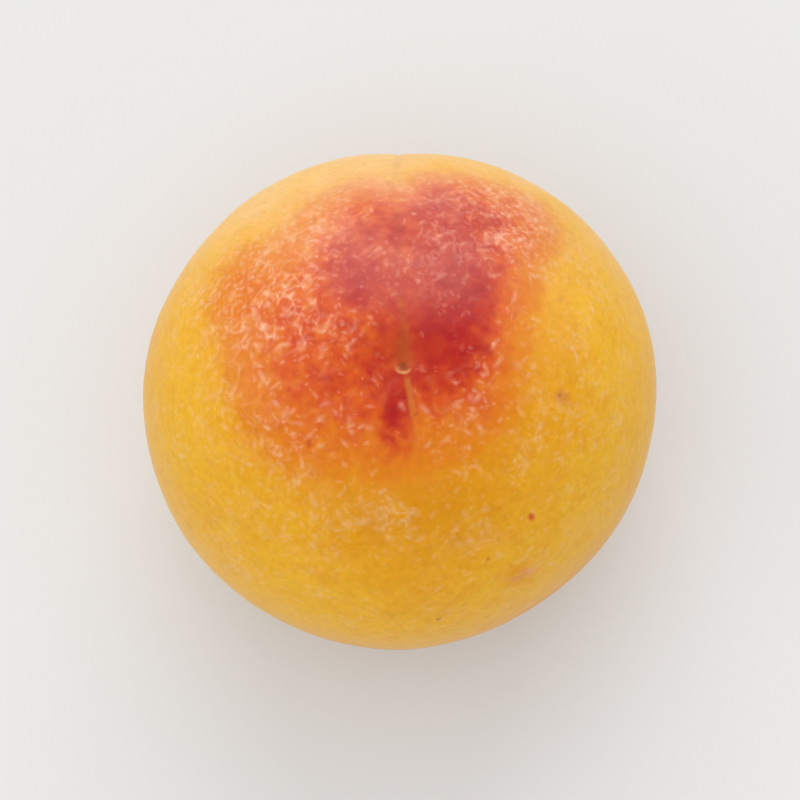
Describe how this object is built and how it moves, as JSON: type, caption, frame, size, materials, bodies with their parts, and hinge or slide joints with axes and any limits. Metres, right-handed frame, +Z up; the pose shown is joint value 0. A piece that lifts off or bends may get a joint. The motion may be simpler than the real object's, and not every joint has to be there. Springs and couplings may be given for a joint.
{
  "type": "plum",
  "caption": "Large ripe yellow plum with a red blush over its crown, standing on its shoulders with the tip up and the stem cavity beneath.",
  "frame": {"origin": "on the ground, under the middle of the fruit's box", "axes": "+Z up through the tip; +Y towards the suture; +X and -X are the two cheeks"},
  "size_m": [0.072, 0.0694, 0.064],
  "materials": {
    "plum_skin": "satin"
  },
  "bodies": {
    "root": {"plum": "plum_skin"}
  },
  "joints": []
}
